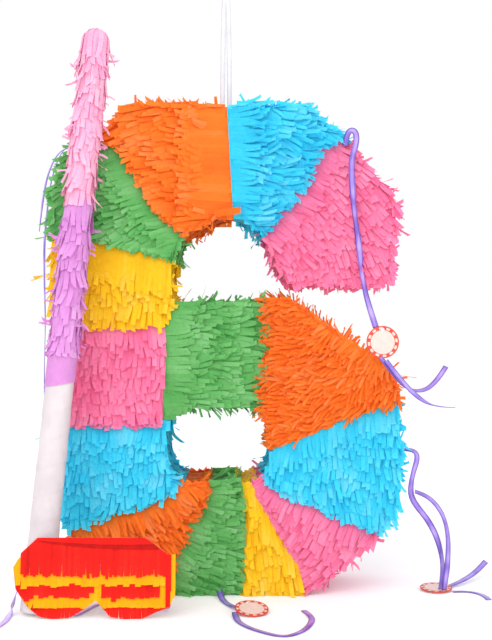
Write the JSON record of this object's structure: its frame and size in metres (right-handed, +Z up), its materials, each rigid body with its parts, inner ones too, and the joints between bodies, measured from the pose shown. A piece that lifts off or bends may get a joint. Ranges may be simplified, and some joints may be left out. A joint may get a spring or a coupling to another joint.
{
  "type": "party pinata with bat and blindfold",
  "caption": "Number-six party pinata covered in cut tissue, with a fill door, a trap door with a pull ribbon, a paper bat and a blindfold that lift off.",
  "frame": {"origin": "on the surface that the pinata stands on, under the middle of its depth, in line with the hanging loop", "axes": "+Z up, +Y to the back of the pinata, +X to the right as seen from the front"},
  "size_m": [0.4088, 0.1929, 0.522],
  "materials": {
    "corrugated_card": "plain kraft",
    "thin_card": "plain kraft",
    "orange_tissue": "crepe tissue, matt",
    "blue_tissue": "crepe tissue, matt",
    "pink_tissue": "crepe tissue, matt",
    "green_tissue": "crepe tissue, matt",
    "yellow_tissue": "crepe tissue, matt",
    "white_tape": "satin tape",
    "purple_ribbon": "curling ribbon, satin",
    "lilac_ribbon": "satin ribbon",
    "tag_paper": "printed card, matt",
    "tube_board": "wound tube board",
    "pale_pink_tissue": "crepe tissue, matt",
    "lilac_tissue": "crepe tissue, matt",
    "white_paper": "wrapping paper, matt",
    "red_tissue": "crepe tissue, matt",
    "golden_tissue": "crepe tissue, matt"
  },
  "bodies": {
    "shell": {"front_panel": "corrugated_card", "back_panel": "corrugated_card", "band_left": "corrugated_card", "band_top": "corrugated_card", "band_notch": "corrugated_card", "band_right": "corrugated_card", "band_base": "corrugated_card", "counter_band": "corrugated_card", "tissue_orange_top": "orange_tissue", "tissue_blue_top": "blue_tissue", "tissue_pink_end": "pink_tissue", "tissue_green_shoulder": "green_tissue", "tissue_yellow_left": "yellow_tissue", "tissue_pink_left": "pink_tissue", "tissue_blue_left": "blue_tissue", "tissue_orange_foot": "orange_tissue", "tissue_green_base": "green_tissue", "tissue_yellow_base": "yellow_tissue", "tissue_pink_base": "pink_tissue", "tissue_blue_right": "blue_tissue", "tissue_orange_right": "orange_tissue", "tissue_green_bar": "green_tissue", "hanger_washer": "corrugated_card", "hanger_knot": "white_tape", "hanging_loop": "white_tape", "ribbon_upper": "purple_ribbon", "tail_upper_1": "purple_ribbon", "tail_upper_2": "purple_ribbon", "ribbon_right_a": "purple_ribbon", "ribbon_right_b": "purple_ribbon", "tail_right_1": "purple_ribbon", "tail_right_2": "purple_ribbon", "ribbon_left_a": "purple_ribbon", "ribbon_left_b": "purple_ribbon", "tag_upper": "tag_paper", "tag_right": "tag_paper", "tag_left": "tag_paper"},
    "fill_door": {"fill_flap": "corrugated_card", "fill_flap_tissue": "pink_tissue"},
    "trap_door": {"trap_flap": "corrugated_card", "trap_flap_tissue": "green_tissue", "ribbon_bottom": "purple_ribbon", "tail_bottom": "purple_ribbon", "tag_bottom": "tag_paper"},
    "bat": {"bat_tube": "tube_board", "bat_cap_foot": "tube_board", "bat_cap_top": "tube_board", "bat_tissue_pink": "pale_pink_tissue", "bat_tissue_lilac": "lilac_tissue", "bat_grip": "white_paper"},
    "blindfold": {"mask_card": "thin_card", "mask_row_1": "red_tissue", "mask_row_2": "golden_tissue", "mask_row_3": "red_tissue", "mask_row_4": "golden_tissue", "mask_row_5": "red_tissue", "tie_left": "lilac_ribbon", "tie_right": "lilac_ribbon"}
  },
  "joints": [
    {"name": "fill_door_hinge", "type": "hinge", "parent": "shell", "child": "fill_door", "pos_m": [-0.102, 0.039, 0.22], "axis": [1, 0, 0], "range_deg": [0, 100]},
    {"name": "trap_door_hinge", "type": "hinge", "parent": "shell", "child": "trap_door", "pos_m": [-0.027, 0.024, 0], "axis": [1, 0, 0], "range_deg": [0, 90]},
    {"name": "bat_lift", "type": "slide", "parent": "shell", "child": "bat", "axis": [0.0866, 0.1076, 0.9904], "range_m": [0, 0.25]},
    {"name": "blindfold_lift", "type": "slide", "parent": "shell", "child": "blindfold", "axis": [0, 0.108, 0.9942], "range_m": [0, 0.12]}
  ]
}
